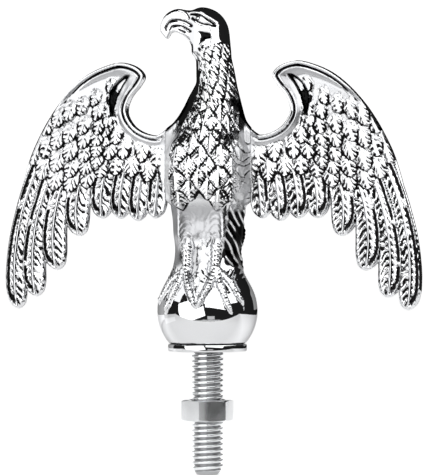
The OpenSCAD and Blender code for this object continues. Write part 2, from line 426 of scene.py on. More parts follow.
# ---------------------------------------------------------------- feather relief
def leaf(s, q, row, width, seed):
    """Height of one pointed feather, whether a point is on it, and painted shade along its outline and in
    strokes between its barbs.

    s runs from the feather's tip and q across it.
    """
    half = 0.5 * width * np.clip(s / (1.15 * row), 0, 1) ** 0.75
    on = (s > 0) & (s < 2.6 * row) & (np.abs(q) < half)
    edge, dome = domed(half - np.abs(q), 0.5)
    rise = 0.75 * (1 - 0.9 * np.clip(s / (2.6 * row), 0, 1))
    shaft = 0.2 * bell(q, 0.26)
    pitch = np.clip(0.38 * row, 0.8, 1.4)
    wave = np.sin(2 * math.pi * ((s + 1.3 * np.abs(q)) / pitch + seed))
    fine = 0.12 * (wave + wobble(s, q, 0.9, 3)) * smooth_step(0.2, 0.5, np.abs(q)) * fall(0.9, 1.6, s / row)
    outline = bell(half - np.abs(q) - 0.32, 0.32, 6)
    strokes = fall(-0.65, -0.35, wave) * smooth_step(0.3, 0.5, np.abs(q)) * edge
    broken = smooth_step(-0.45, -0.1, wobble(s + 9 * seed, q, 1.3, 8))
    # painted shade along the outline and in the troughs between barbs, broken here and there
    shade_lines = np.maximum(outline, strokes) * broken * fall(0.8, 1.4, s / row)
    return 0.12 + (rise + 0.3 * pillow(q, half) + shaft + fine) * dome, on, shade_lines


def coat(theta, t, scale, columns, row, lowest, seed):
    """Overlapping feathers round a body, as heights and painted shade along their outlines and barbs.

    theta is the angle, t the height in radii and scale the radius.
    """
    width = 2 * math.pi / columns
    h, shade_lines = np.zeros_like(theta), np.zeros_like(theta)
    base = np.floor(t / row)
    for k in (-2, -1, 0, 1):  # lower rows first, so that the rows above lie over them
        i = base + k
        shift = 0.5 * (i.astype(np.int64) % 2)
        j = np.floor(theta / width - shift + 0.5)
        for m in (-1, 0, 1):
            jj = np.mod(j + m, columns)
            off_t = (hash01(i, jj, seed) - 0.5) * 0.3
            off_q = (hash01(i, jj, seed + 1) - 0.5) * 0.14
            tip, axis = (i + off_t) * row, (shift + j + m + off_q) * width
            s, q = (t - tip) * scale, (theta - axis) * scale
            top, on, lines = leaf(s, q, row * scale, 1.08 * width * scale, hash01(i, jj, seed + 2))
            on = on & (tip > lowest(axis))
            h, shade_lines = np.where(on, top, h), np.where(on, lines, shade_lines)
    return h, shade_lines


def trunk_radius(z):
    """The trunk's middle and mean radius at height z."""
    middle, half, front, back = along(BODY_SECTIONS, z)
    return middle, 0.5 * half + 0.25 * (back - front)


def trunk_relief(p):
    """How far the feathers stand out of the body at points p, and the painted shade along their outlines and
    barbs.
    """
    x, y, z = p.T
    middle, radius = trunk_radius(z)
    theta = np.arctan2(x - middle, -y)  # 0 in front
    heights = np.linspace(10, 100, 400)
    local = trunk_radius(heights)[1]
    t_of = np.concatenate([[0], np.cumsum(np.diff(heights) / (0.5 * (local[1:] + local[:-1])))])
    t = np.interp(z, heights, t_of)
    slant = 0.45 * np.clip(t - np.interp(72, heights, t_of), 0, None)
    ends = [np.interp(z0, heights, t_of) for z0 in (42.0, 34.5)]

    def lowest(angle):
        turn = np.abs(np.mod(angle + math.pi, 2 * math.pi) - math.pi)
        ragged = 0.14 * np.sin(7.3 * angle + 0.8) + 0.1 * np.sin(12.7 * angle)
        return np.where(turn < math.pi / 2, ends[0] + 0.12 * turn**2 + ragged, ends[1])

    h, shade_lines = coat(theta + slant, t, radius, FEATHER_COLUMNS, 0.33, lowest, seed=11)
    # plain borders: the sides and the head
    neck = smooth_step(66, 72, z)
    middle_turn = np.where(theta > 0, 102, 88 - 10 * neck)
    side = np.abs(np.degrees(np.abs(theta)) - middle_turn) - np.where(theta > 0, 30 - 5 * neck, 44 - 7 * neck)
    keep = smooth_step(-5, 5, side)
    top = 90.5 + 0.25 * (x - 1)
    keep = keep * fall(-0.8, 0.8, z - top)
    return h * np.clip(radius / 10, 0.55, 1) * keep, shade_lines * keep


def tail_relief(p):
    """Long tail feathers down the back, and a fine grain on the tail between the legs."""
    x, y, z = p.T
    fan = x / (1 + 0.012 * (44 - z))
    q = np.mod(fan / 3.3 + 0.5, 1) - 0.5
    low = 17.5 + 0.06 * fan**2 + 5.5 * (np.abs(q) * 2) ** 2.2
    edge = np.sqrt(np.clip(1 - (2 * q) ** 4, 0, 1))
    barbs = 0.10 * np.sin(2 * math.pi * (z - 1.3 * np.abs(q) * 3.3) / 1.35)
    back = (0.55 * edge + 0.2 * bell(q * 3.3, 0.25) + barbs * edge) * smooth_step(0, 0.4, z - low)
    back = back * smooth_step(1.5, 3.0, y) * fall(36, 37.5, z)
    grain = 0.045 * wobble(x * 1.3, z, 0.7, 5) + 0.04 * wobble(x * 1.6, z * 0.6, 1.4, 6)
    front = grain * smooth_step(3.0, 5.0, -y) * within(z, 16.5, 18, 41, 44)
    return back + front * (np.abs(x) < 3.5)


def leg_relief(p):
    """Scales across the shanks, rings on the toes, and the feathers of the thighs."""
    x, y, z = p.T
    side = np.abs(x)
    shank = (side > 2.8) & (side < 6.2) & (y < -8.2) & (z > 24.5) & (z < 32.0)
    scales = 0.28 * (np.abs(np.sin(math.pi * (z + 0.25 * (side - 4.4) ** 2) / 1.3)) - 0.6)
    split = -0.25 * bell(side - 4.4, 0.25)
    toes = (z <= 24.5) & (ball_shape(x, y, z) > 0.25) & (y < 0) & (side > 0.8)
    reach = np.sqrt((side - 4.5) ** 2 + (z - 25) ** 2)
    rings = 0.17 * (np.abs(np.sin(math.pi * reach / 1.1)) - 0.6)
    off = np.abs(side - 4.4)
    above = z - (34.4 - 0.45 * off**2)
    width = fall(2.2, 3.4, off)
    thigh = 0.32 * smooth_step(-0.3, 0.4, above) * fall(35, 41, z) * width
    thigh = thigh + 0.05 * np.sin(2 * math.pi * above / 1.7) * smooth_step(0, 1, above) * width * (z < 42)
    return (scales + split) * shank + rings * toes + thigh * (y < -5)


def side_plumes(p):
    """Thin slanting plumes down the right side of the column: their height, and painted shade over that side
    everywhere between them.
    """
    x, y, z = p.T
    lean = 0.8 * x + 0.35 * y + 0.6 * z + 0.6 * wobble(x, z, 4.0, 21)
    stroke = bell(np.mod(lean / 2.4, 1) - 0.5, 0.17) * smooth_step(-0.7, -0.1, wobble(x, z, 2.6, 9))
    start = 6.0 + 1.2 * smooth_step(32, 38, z)
    where = smooth_step(start, start + 1.2, x) * (y < 5) * within(z, 24.5, 26.5, 40, 44)
    # painted shade over the right side of the column, except on the plumes
    return 0.35 * stroke * where, where * (1 - stroke)


def flank_plumes(p):
    """Curling plumes on the right flank beside the wing's root: height, painted shade lines in their creases
    and where they are.
    """
    x, y, z = p.T
    drop = (z - 53) * 0.9 + 2.2 * np.sin((x - 8) * 0.62) + 1.1 * wobble(x, z, 2.6, 14)
    lock = np.mod((drop + 0.8 * (x - 8)) / 2.1, 1)
    curl = 0.5 * lock**1.5 * fall(0.86, 1.0, lock)
    # painted shade along the drop at the end of each curl
    line = bell(lock - 0.9, 0.13, 4) * smooth_step(-0.8, -0.3, wobble(x, z, 2.2, 15))
    where = smooth_step(8.2, 9.4, x) * (y < 3) * within(z, 43, 46, 60, 65)
    return curl * where * fall(ROOT_X - 1.0, ROOT_X - 0.1, x), line * where, where


# Lines and hollows of the face, seen from the side: points, half width and depth.
FACE_LINES = [
    ([(-12.5, 96.2), (-11.7, 97.8), (-10.6, 98.7), (-8.7, 98.9), (-6.2, 98.2), (-4.1, 96.9)], 0.34, 0.45),
    ([(-11.2, 95.8), (-10.2, 97.1), (-7.9, 97.1), (-5.6, 96.0), (-4.4, 95.2)], 0.28, 0.3),
    ([(-8.4, 96.0), (-6.2, 95.0)], 0.28, 0.3),
    ([(-6.2, 101.2), (-5.5, 100.2), (-5.0, 99.3)], 0.34, 0.4),
    ([(-4.5, 100.5), (-1.8, 100.2), (0.9, 98.8), (3.4, 97.0)], 0.34, 0.5),
    ([(-4.1, 99.3), (-1.8, 97.9), (0.1, 97.2), (3.4, 96.8)], 0.3, 0.4),
]
FACE_PATCH = [(-2.6, 95.6), (0.4, 95.0), (2.2, 94.5), (1.9, 92.9), (0.3, 92.6), (-1.6, 91.4), (-1.2, 93.6)]
EYE = (-1.9, 99.0)


def face_relief(p):
    """Lines of the beak, brow, eye and cheek, and the painted shade in them, over the patch under the cheek
    and round the eye.
    """
    x, y, z = p.T
    depth, deep = np.zeros_like(x), np.zeros_like(x)
    near = (z > 88) & (np.abs(y) > 0.8) & (x < 6.5)
    px, pz = x[near], z[near]
    h, painted_shade = np.zeros_like(px), np.zeros_like(px)
    for line, half, down in FACE_LINES:
        away = line_distance(px, pz, curve(line, 6))
        h = np.minimum(h, -down * bell(away, half))
        # painted shade along each line
        painted_shade = np.maximum(painted_shade, fall(0.1, 0.42, away))
    patch = signed_distance(px, pz, closed(FACE_PATCH))
    h = np.minimum(h, -0.7 * fall(-0.9, 0.2, patch))
    # painted shade over the carved patch
    painted_shade = np.maximum(painted_shade, fall(-0.4, 0.1, patch))
    ring = np.hypot(px - EYE[0], pz - EYE[1])
    h = h + 0.4 * bell(ring, 0.5)
    # painted shade in a ring round the eye
    painted_shade = np.maximum(painted_shade, bell(ring - 0.55, 0.2))
    depth[near], deep[near] = h, painted_shade
    return depth, deep


def eagle_clay():
    """The whole body without its feathers, as points and quads."""
    clay = Clay((-18, -18, FOOT_H - 1.6), (18, 15.5, 104), BODY_STEP)
    clay.add(trunk_shape, (-18, -16, 12), (18, 13, 97), 0.01)
    for shape in (web_shape, flank_shape):
        clay.add(shape, (-14, -16, 22), (14, 14, 84), lambda x: 0.02 + 4 * fall(10, ROOT_X - 0.3, np.abs(x)))
    clay.add(ball_shape, (-18, -18, FOOT_H - 2), (18, 18, BALL_Z + BALL_R + 5.4), 2.2)
    clay.add(head_shape, (-15, -7, 86), (8, 7, 103.5), 1.2)
    inner_tail(clay)
    for side in (-1, 1):
        leg(clay, side)
    cut, (x, y, z) = clay.part((-18, -18, FOOT_H - 2), (18, 15.5, FOOT_H + 2))
    clay.field[cut] = np.maximum(clay.field[cut], FOOT_H + 0.02 - z + 0 * x + 0 * y)
    return surface(clay.field, clay.low, clay.step)


def column_satin(p):
    """How satin the column's finish is: on the tail between the legs, the left side and the thighs."""
    x, y, z = p.T
    tail = fall(3.0, 4.0, np.abs(x)) * smooth_step(4, 6, -y) * smooth_step(16, 17.5, z)
    left = smooth_step(4.6, 7.6, -x) * (y < 3)
    thighs = fall(5.5, 8.5, np.abs(x)) * smooth_step(3, 5, -y) * smooth_step(29, 35, z)
    satin = within(z, 24, 26, 42, 46) * np.maximum(np.maximum(0.4 * tail, 0.75 * left), 0.75 * thighs)
    return satin + 0.3 * tail * fall(24, 26, z)


def shoulder_shade_line(p):
    """1 on the line of painted shade along the shoulders, above the wings' roots, and 0 away from it."""
    x, y, z = p.T
    edge = -web_distance(x, z) - np.where(x < 0, 1.1, 0.45)
    return fall(-0.25, 0.25, edge) * within(z, 64.8, 65.6, 74, 76) * (np.abs(x) > 5.5) * (y < WING_Y + 0.5)


def eagle_body(material):
    """The body with its feathers, with painted shade where it is dark, and where its finish is satin or bare.
    """
    points, quads = eagle_clay()
    x, y, z = points.T
    plume, right_side_shade = side_plumes(points)
    curl, crease_shade, flank = flank_plumes(points)
    low = tail_relief(points) + leg_relief(points) + plume + curl
    ball = ball_shape(x, y, z) < 0.2
    low[ball & (z < 26)] = 0
    face, deep = face_relief(points)
    feathers, lines = trunk_relief(points)
    lines[ball] = 0
    h = (feathers + low + face) * smooth_step(FOOT_H, FOOT_H + 1.0, z)
    satin = column_satin(points)
    # painted shade: in the bottoms of the relief except where satin, in the face's lines and patch, and along
    # the feathers' outlines and barbs
    painted_shade = np.maximum(np.maximum(painted_hollow_shade(quads, h, 0.15) * fall(0, 0.25, satin), deep), lines)
    # painted shade, less on the right flank, and over the column's right side between its plumes and in the
    # flank plumes' creases
    painted_shade = np.maximum(painted_shade * (1 - 0.7 * flank), np.maximum(right_side_shade, crease_shade))
    # painted shade along the shoulders above the wings' roots
    painted_shade = np.maximum(painted_shade, shoulder_shade_line(points))
    shoulder = smooth_step(9.5, 11, np.abs(x)) * within(z, 56, 60, 67, 69)
    satin = np.maximum(satin, np.maximum(0.4 * flank, 0.5 * shoulder))
    side = smooth_step(9.0, 10.2, np.abs(x)) * within(z, 42, 45, 64, 66.5) * (y < 3)
    frost = np.maximum(side * np.where(x < 0, 1.0, 0.6), 0.8 * smooth_step(0.15, 0.3, plume))
    # less painted shade on the left where the finish is frosted
    painted_shade = np.where(x < 0, painted_shade * (1 - frost), painted_shade)
    points = points + normals(points, quads) * h[:, None]
    return make_object("EagleBody", points, quads, material, "eagle", ["eagle_body"],
                       layers={"painted_shade": painted_shade, "satin": satin, "frost": frost})


def painted_hollow_shade(quads, h, deep):
    """Painted shade: 1 in the bottoms of the relief and 0 on its crests."""
    near = np.zeros(len(h))
    smooth = h.copy()
    for k in range(4):
        np.add.at(near, quads[:, k], 2)
    for _ in range(4):
        total = np.zeros(len(h))
        for k in range(4):
            np.add.at(total, quads[:, k], smooth[quads[:, (k + 1) % 4]] + smooth[quads[:, (k + 3) % 4]])
        smooth = total / np.maximum(near, 1)
    return smooth_step(0.25 * deep, deep, smooth - h)


# ---------------------------------------------------------------- wings
# Outline from the root over the wrist and down the outer side: distance from the middle, height.
WING_EDGE = [
    (9.0, 66.6), (12.7, 66.4), (14.2, 65.4), (16.0, 64.6), (19.6, 65.5), (22.8, 67.7), (24.8, 71.6),
    (23.6, 75.8), (20.7, 79.4),
    (19.4, 82.4), (21.9, 85.2), (26.9, 86.6), (32.2, 85.4), (37.4, 83.0), (42.0, 79.4), (46.7, 74.3),
    (50.4, 69.0), (53.4, 63.6), (55.8, 58.3), (57.6, 52.6), (59.1, 47.0), (60.3, 41.5), (61.2, 35.5),
    (61.9, 29.0), (62.5, 22.0), (62.6, 17.5),
]
# The flight feathers from the outermost in: tip, a point half way, root, width.
FLIGHT = [
    ((59.7, 12.8), (58.9, 38.0), (47.5, 66.0), 5.9), ((53.9, 16.5), (53.1, 40.0), (42.5, 65.0), 6.7),
    ((47.3, 24.5), (47.0, 43.5), (38.0, 64.0), 7.2), ((40.2, 34.7), (40.1, 48.0), (33.5, 63.0), 7.2),
    ((32.9, 40.0), (32.4, 50.0), (28.5, 61.0), 6.9), ((27.2, 39.9), (26.5, 50.0), (23.6, 60.0), 6.1),
    ((21.8, 39.2), (20.9, 49.0), (19.0, 59.0), 6.1), ((16.3, 40.0), (15.6, 48.0), (14.5, 58.0), 5.8),
    ((11.7, 44.6), (11.3, 50.0), (11.0, 58.0), 5.6),
]
# The lower edge of the plain arm, from its end near the outer edge to the root.
ARM_EDGE = [
    (52.5, 66.5), (46.5, 72.6), (41.0, 76.6), (35.0, 79.6), (29.8, 81.2), (26.6, 80.9), (26.8, 78.3),
    (28.8, 75.2),
    (29.5, 71.0), (27.6, 66.0), (22.5, 61.8), (17.5, 60.2), (12.7, 60.0), (9.0, 60.0),
]
# Where the covert feathers end over the flight feathers.
COVERT_EDGE = [
    (55.5, 57.0), (50.0, 49.0), (45.0, 47.5), (38.5, 49.0), (32.0, 52.0), (24.0, 52.0), (17.5, 50.5),
    (12.7, 50.0), (9.0, 50.0),
]
# The hollow below the wrist, between the arm and the feathers.
SCOOP = [
    (23.7, 82.6), (26.0, 79.6), (27.9, 75.8), (28.8, 72.6), (29.4, 70.8), (30.4, 71.9), (30.7, 74.8),
    (30.2, 77.8), (28.2, 80.6), (25.6, 82.5),
]


def wing_outline(x, z):
    """Signed distance to the plate's outline: the outer edge and one lobe for each flight feather."""
    edge = curve(WING_EDGE, 4)
    fill = [(58.0, 22.0), (51.0, 33.0), (44.0, 41.0), (36.0, 46.5), (9.0, 46.5)]
    d = signed_distance(x, z, np.vstack([edge, fill]))
    for f in FLIGHT:
        s, q, half = feather_frame(f, x, z)
        lobe = np.maximum(np.abs(q) - half(s + 0.5) - 0.45 * smooth_step(-0.5, 1.5, s), -(s + 0.5))
        lobe = np.maximum(lobe, z - 55)
        d = np.minimum(d, np.where(lobe < 3, lobe, 3))
    return d


def feather_frame(f, x, z):
    """Distance from a flight feather's tip along it, distance across it and its half width."""
    *line, width = f
    bend = np.polyfit([p[1] for p in line], [p[0] for p in line], 2)
    lean = 1 / np.sqrt(1 + np.polyval(np.polyder(bend), z) ** 2)

    def half(s):
        end = np.clip(s / (1.15 * width), 0, 1)
        taper = 1 - 0.012 * np.clip(s - 10, 0, 20)
        return 0.5 * width * np.sqrt(np.clip(1 - (1 - end) ** 2.2, 0, 1)) * taper

    return (z - line[0][1]) / lean, (x - np.polyval(bend, z)) * lean, half


def barbs(s, away, pitch, seed):
    """Waves of overlapping barbs, -1 to 1, and how far each place is down between two of them."""
    phase = np.mod((s + 1.25 * away) / pitch + 0.5 * wobble(s, away * 2, 3.0, seed), 1)
    wave = np.minimum(phase / 0.6, (1 - phase) / 0.4)
    uneven = 0.24 * wobble(s, away, 1.7, seed + 7)
    return 2 * wave - 1, fall(0.36, 0.5, wave + uneven) * smooth_step(0.35, 0.6, away)


def feather_height(s, q, half, pitch, seed):
    """Relief of a flight feather that is highest at its outer edge, and its painted shade between barbs and
    along a groove near its outer edge.
    """
    width = np.maximum(half, 0.01)
    edge, dome = domed(half - np.abs(q), 0.4)
    tilt = 0.5 + 0.45 * np.clip(q / width, -1, 1)
    away = np.abs(q - 0.1)
    shaft = 0.4 * bell(away, 0.32) - 0.2 * bell(away - 0.75, 0.25)
    wave, gap = barbs(s, away, pitch, seed)
    ridge = 0.17 * wave * smooth_step(0.25, 0.7, away)
    broad = 0.5 + 0.35 * fall(2.5, 5.0, s)
    line = bell(half - q - 0.35 - broad, broad, 6) * smooth_step(-0.75, -0.4, wobble(s, q, 3.2, seed + 3))
    broken = smooth_step(-0.75, -0.35, wobble(s, away * 0.4, 2.0, seed + 11))
    short = fall(0.7, 0.9, away / width)
    # painted shade between the barbs, weaker on the outer vane
    gap = gap * np.where(q > 0, 0.45, short) * broken * smooth_step(0.2, 0.6, edge)
    return 0.35 + (tilt + shaft + ridge - 0.35 * line) * dome, np.maximum(gap, line * smooth_step(0.5, 3, s))


COVERT_STEP = 5.2  # spacing of the covert feathers, along the wing and between rows


def covert_rows():
    """Tips, directions and sizes of the covert feathers, lowest row first."""
    arm, low = curve(ARM_EDGE, 12), curve(COVERT_EDGE, 12)
    length = np.concatenate([[0], np.cumsum(np.linalg.norm(np.diff(low, axis=0), axis=1))])
    columns = int(length[-1] / COVERT_STEP) + 1
    out = []
    for r in range(8):
        for k in range(columns):
            u = (k + 0.5 * (r % 2) + 0.25) * COVERT_STEP / length[-1]
            if u > 1:
                continue
            b = np.array([np.interp(u * length[-1], length, low[:, i]) for i in (0, 1)])
            a = arm[min(int(u**0.85 * (len(arm) - 1)), len(arm) - 1)]
            gap = np.linalg.norm(a - b)
            share = r * COVERT_STEP * 0.92 / gap
            if share > 0.9:
                continue
            seed = 10 * r + k
            jump = [hash01(np.array(seed), np.array(i)) - 0.5 for i in (1, 2)]
            tip = mix(b, a, share) + 0.6 * np.array(jump)
            way = 0.45 * (b - a) / gap + 0.55 * feather_lean(tip)
            size = 1 - 0.06 * r
            out.append((tip, way / np.linalg.norm(way), 5.7 * size, 9.5 * size, seed))
    return out


def feather_lean(p):
    """The way the feathers point at a place on the wing: down, and outwards near the outer edge."""
    out = 0.12 + 0.5 * smooth_step(30, 56, p[0]) * smooth_step(42, 75, p[1])
    return np.array([out, -1.0]) / math.hypot(out, 1)


def covert(x, z, tip, way, width, length, seed):
    """One round-tipped covert feather: its height, painted shade between its barbs and along its outline, and
    how far it covers what is below.
    """
    dx, dz = x - tip[0], z - tip[1]
    s = -(dx * way[0] + dz * way[1])
    q = dz * way[0] - dx * way[1]
    u = np.clip(s / (0.62 * width), 0, 1)
    half = 0.5 * width * np.sqrt(np.clip(1 - (1 - u) ** 2, 0, 1))
    on = (s > 0) & (s < length) & (np.abs(q) < half)
    edge, dome = domed(half - np.abs(q), 0.5)
    away = np.abs(q)
    shaft = 0.22 * bell(away, 0.3)
    wave, gap = barbs(s, away, 1.9, seed)
    ridge = 0.16 * wave * smooth_step(0.3, 0.7, away)
    top = 0.35 + (0.8 * (1 - 0.8 * s / length) + 0.3 * pillow(q, half) + shaft + ridge) * dome
    fade = on * fall(0.6, 1.0, s / length)
    rim = half - away
    bold = 0.34 + 0.2 * fall(26, 36, x)
    outline = bell(rim - bold, bold, 6) * smooth_step(-0.4, -0.1, wobble(x, z, 1.5, 31))
    # painted shade between the barbs and along the outline
    gap = np.maximum(gap * smooth_step(0.2, 0.6, edge), outline)
    return top, gap * fall(0.3, 0.6, s / length), fade


def wing_relief(x, z, edge_distance):
    """Height of the feathers and the arm over the wing's plate, their painted shade in gaps and lines, and
    their satin places.
    """
    h, shade_lines, satin = np.zeros_like(x), np.zeros_like(x), np.zeros_like(x)
    for n, f in enumerate(FLIGHT):
        s, q, half = feather_frame(f, x, z)
        w = half(s)
        on = (s > 0) & (np.abs(q) < w) & (z < 68)
        top, gap = feather_height(s, q, w, 2.4, 40 + n)
        h, shade_lines = np.where(on, top, h), np.where(on, gap, shade_lines)
    upper = smooth_step(54, 62, z)
    h, shade_lines, satin = mix(h, 0.55, upper), shade_lines * (1 - upper), 0.5 * upper
    for tip, way, width, length, seed in covert_rows():
        top, gap, cover = covert(x, z, tip, way, width, length, seed)
        h, shade_lines = mix(h, top, cover), mix(shade_lines, gap, cover)
        satin = mix(satin, 0.3 * smooth_step(24, 36, x), cover)
    outer = curve(WING_EDGE[:17], 4)
    d_out = line_distance(x, z, outer)
    d_in = line_distance(x, z, curve(ARM_EDGE, 6))
    t = d_out / np.maximum(d_out + d_in, 0.01)
    line = bell(d_out - 1.5, 0.36) * smooth_step(13, 16, x)
    arm = plain_arm(x, z)
    h = mix(h, 2.1 - 1.4 * smooth_step(0.1, 1, t) - 0.95 * line, arm)
    outward = np.where((x < 25) & (z < 79), 0.45, 1.0)
    # painted shade along the groove by the arm's outer edge, weaker on the arm's inner part
    shade_lines = mix(shade_lines, outward * smooth_step(0.3, 0.8, line), arm)
    satin = mix(satin, 0.75 * smooth_step(1.9, 2.4, d_out), arm)
    root = wing_root(x, z)
    h = h * smooth_step(0, 0.9 - 0.65 * arm, -edge_distance)
    return h, shade_lines * (1 - root), np.maximum(satin, 0.5 * root)


def plain_arm(x, z):
    """1 on the plain arm along the wing's upper edge, easing to 0 where its feathers begin."""
    arm = curve(ARM_EDGE, 6)
    band = inside(x, z, np.vstack([curve(WING_EDGE[:17], 4), arm]))
    return band * smooth_step(0, 2.4, line_distance(x, z, arm))


def wing_root(x, z):
    """1 at the joint face, easing to 0 where the wing's own relief is full."""
    return fall(ROOT_X, ROOT_X + 2.2 + 1.0 * wobble(x, z, 4.0, 50), x)


def wing_scoop(x, z):
    """1 in the hollow below the wrist and 0 outside it."""
    return fall(-0.7, 0.15, signed_distance(x, z, closed(SCOOP)))


def wing(name, side, material):
    """One wing: a relief on both faces of a plate that curves backwards."""
    clay = Clay(WING_LOW, WING_HIGH, WING_STEP)
    _, (x, y, z) = clay.part(WING_LOW, WING_HIGH)
    flat_x, flat_z = np.broadcast_arrays(x[:, 0, :], z[0, :, :])
    d = wing_outline(flat_x, flat_z)
    relief, _, _ = wing_relief(flat_x, flat_z, d)
    root = wing_root(flat_x, flat_z)

    def face(share, front):
        return mix(PLATE_HALF + share * relief, root_half(flat_z, front), root)

    front = face(1.0, True) - 1.5 * wing_scoop(flat_x, flat_z)
    back = np.maximum(face(0.62, False), 0.8 - front)
    middle, half = ((back - front) / 2)[:, None, :], ((back + front) / 2)[:, None, :]
    edge = np.clip(1 + d / 0.6, 0, None)[:, None, :]
    field = (np.sqrt(edge**4 + (np.abs(y - middle) / half) ** 2) - 1) * 0.8
    clay.field = np.maximum(field, ROOT_X - 0.1 - x)
    points, quads = surface(clay.field, clay.low, clay.step)
    px, pz = points[:, 0], points[:, 2]
    _, shade_lines, satin = wing_relief(px, pz, wing_outline(px, pz))
    # painted shade in the hollow below the wrist, on the front face, weaker on the left wing
    scoop_shade = smooth_step(0.1, 0.5, wing_scoop(px, pz)) * (points[:, 1] < 0) * (1.0 if side > 0 else 0.7)
    # painted shade: in the bottoms of the relief, in the feathers' gaps and lines, and below the wrist
    painted_shade = np.maximum(np.maximum(painted_hollow_shade(quads, np.abs(points[:, 1]), 0.12), shade_lines), scoop_shade)
    points[:, 1] += WING_Y + SWEEP_R - np.sqrt(SWEEP_R**2 - points[:, 0] ** 2)
    if side < 0:
        points[:, 0] *= -1
        quads = quads[:, ::-1]
    node = "left_wing" if side < 0 else "right_wing"
    return make_object(name, points, quads, material, "eagle", [node],
                       layers={"painted_shade": painted_shade, "satin": satin})


# ---------------------------------------------------------------- turned and threaded pieces
def angles(count):
    """Evenly spaced angles all the way round."""
    return np.linspace(0, 2 * math.pi, count, endpoint=False)


def lathe(rings, angle, closed=True):
    """Points and faces of rings round the axis, each given as its radius and height.

    If closed, the last ring is joined to the first.
    """
    points = [np.stack([r * np.cos(angle), r * np.sin(angle), z + 0 * angle], 1) for r, z in rings]
    m, n = len(rings), len(angle)
    faces = []
    for i in range(m if closed else m - 1):
        up = (i + 1) % m * n
        faces += [(i * n + k, i * n + (k + 1) % n, up + (k + 1) % n, up + k) for k in range(n)]
    return np.vstack(points), faces


def foot_plate(material):
    """A turned ring with eased edges, a shallow groove under the ball and the flat seat."""
    r, h, hole = FOOT_R, FOOT_H, STUD_R + 0.25
    profile = [
        (hole, 0.3), (hole + 0.3, 0.0), (r - 0.45, 0.0), (r - 0.12, 0.12), (r, 0.45), (r, h - 0.75),
        (r - 0.1, h - 0.4), (r - 0.4, h - 0.22), (r - 0.9, h - 0.1), (r - 1.3, h + 0.05),
        (r - 1.4, h + 2.2), (9.0, h + 2.2), (9.0, h - 0.8), (hole, h - 0.8),
    ]
    points, faces = lathe(profile, angles(160))
    return make_object("FootPlate", points, faces, material, "eagle", ["foot_plate"], sharp=40)


def thread_radius(angle, z, outer, depth):
    """Radius of a right-hand thread with small flats, at an angle and a height."""
    phase = np.mod(z / PITCH - angle / (2 * math.pi), 1)
    wave = np.abs(2 * phase - 1)
    return outer - depth * smooth_step(0.3, 0.95, wave)


def stud(material):
    """The threaded stud, with a cone at its free end."""
    angle = angles(96)
    rings = [(np.minimum(thread_radius(angle, z, STUD_R, THREAD_DEPTH), 3.15 + (z - STUD_BOTTOM) * 0.72), z)
             for z in np.arange(STUD_BOTTOM, stud_high[2], PITCH / 16)]
    points, faces = lathe(rings, angle, closed=False)
    low, last = len(points), len(points) - len(angle)
    points = np.vstack([points, [[0, 0, STUD_BOTTOM]], [[0, 0, rings[-1][1]]]])
    for k in range(len(angle)):
        after = (k + 1) % len(angle)
        faces += [(low, after, k), (low + 1, last + k, last + after)]
    # painted shade in the valleys of the thread
    painted_shade = 0.5 * smooth_step(0.45, 0.85, STUD_R - np.hypot(points[:, 0], points[:, 1]))
    painted_shade[low:] = 0
    return make_object("Stud", points, faces, material, "eagle", ["stud"], sharp=60,
                       layers={"painted_shade": painted_shade})


def hexagon(angle, across, turn=0.0):
    """Distance out to a hexagon's flats, and the angle away from the middle of the nearest one."""
    local = np.mod(angle - math.radians(turn), math.pi / 3) - math.pi / 6
    return across / 2 / np.cos(local), local


def hex_nut(material):
    """Hex nut with corners chamfered on both sides, and a thread that stands just clear of the stud's."""
    bottom, top = nut_low[2], nut_high[2]
    angle = angles(192)
    r_hex, local = hexagon(angle, NUT_AF, NUT_TURN)
    r_hex = r_hex - 0.2 * (local / (math.pi / 6)) ** 2  # the flats are very slightly rounded
    r_face = NUT_AF / 2 * 0.975
    drop = np.clip(r_hex - r_face, 0, None) * 0.4
    bore = STUD_R + 0.08
    mouth = bore + 0.75
    chamfer = [(mouth, 0), (r_face - 0.25, 0), (r_face, 0.04),
               (r_hex - 0.12, drop - 0.02), (r_hex, drop + 0.12)]
    rings = [(r, bottom + h) for r, h in chamfer] + [(r, top - h) for r, h in reversed(chamfer)]
    for z in np.linspace(top - 0.2, bottom + 0.2, 56):
        groove = bore + 0.85 - thread_radius(angle, z, 0.85, 0.85)
        rings.append((np.maximum(groove, mouth - np.minimum(top - z, z - bottom) * 1.1), z))
    points, faces = lathe(rings, angle)
    return make_object("HexNut", points, faces, material, "nut", ["hex_nut"], sharp=35)


def thread_insert(material):
    """The hexagonal sleeve cast into the ball, which holds the stud."""
    low, high = box_mm("thread_insert")
    angle = angles(96)
    hexa, _ = hexagon(angle, high[1] - low[1])
    bore, ease = STUD_R + 0.04, 0.3
    end = [(bore, ease), (bore + ease, 0), (hexa - ease, 0), (hexa, ease)]
    rings = [(r, low[2] + h) for r, h in end] + [(r, high[2] - h) for r, h in reversed(end)]
    points, faces = lathe(rings, angle)
    return make_object("ThreadInsert", points, faces, material, "eagle", ["thread_insert"],
                       sharp=40)


def wing_pins(material):
    """Four straight pins with eased ends, two through each wing's tongue."""
    low, high = box_mm("wing_pins")
    r, ease, length = 1.0, 0.25, high[1] - low[1]
    profile = [(0.001, 0), (r - ease, 0), (r, ease), (r, length - ease), (r - ease, length), (0.001, length)]
    pin, pin_faces = lathe(profile, angles(32))
    points, faces = [], []
    for side in (-1, 1):
        for z in (low[2] + r, high[2] - r):
            faces += [tuple(i + len(points) for i in face) for face in pin_faces]
            middle = side * (high[0] - r)
            points += np.stack([middle + pin[:, 0], low[1] + pin[:, 2], z - pin[:, 1]], 1).tolist()
    return make_object("WingPins", points, faces, material, "eagle", ["wing_pins"], sharp=40)


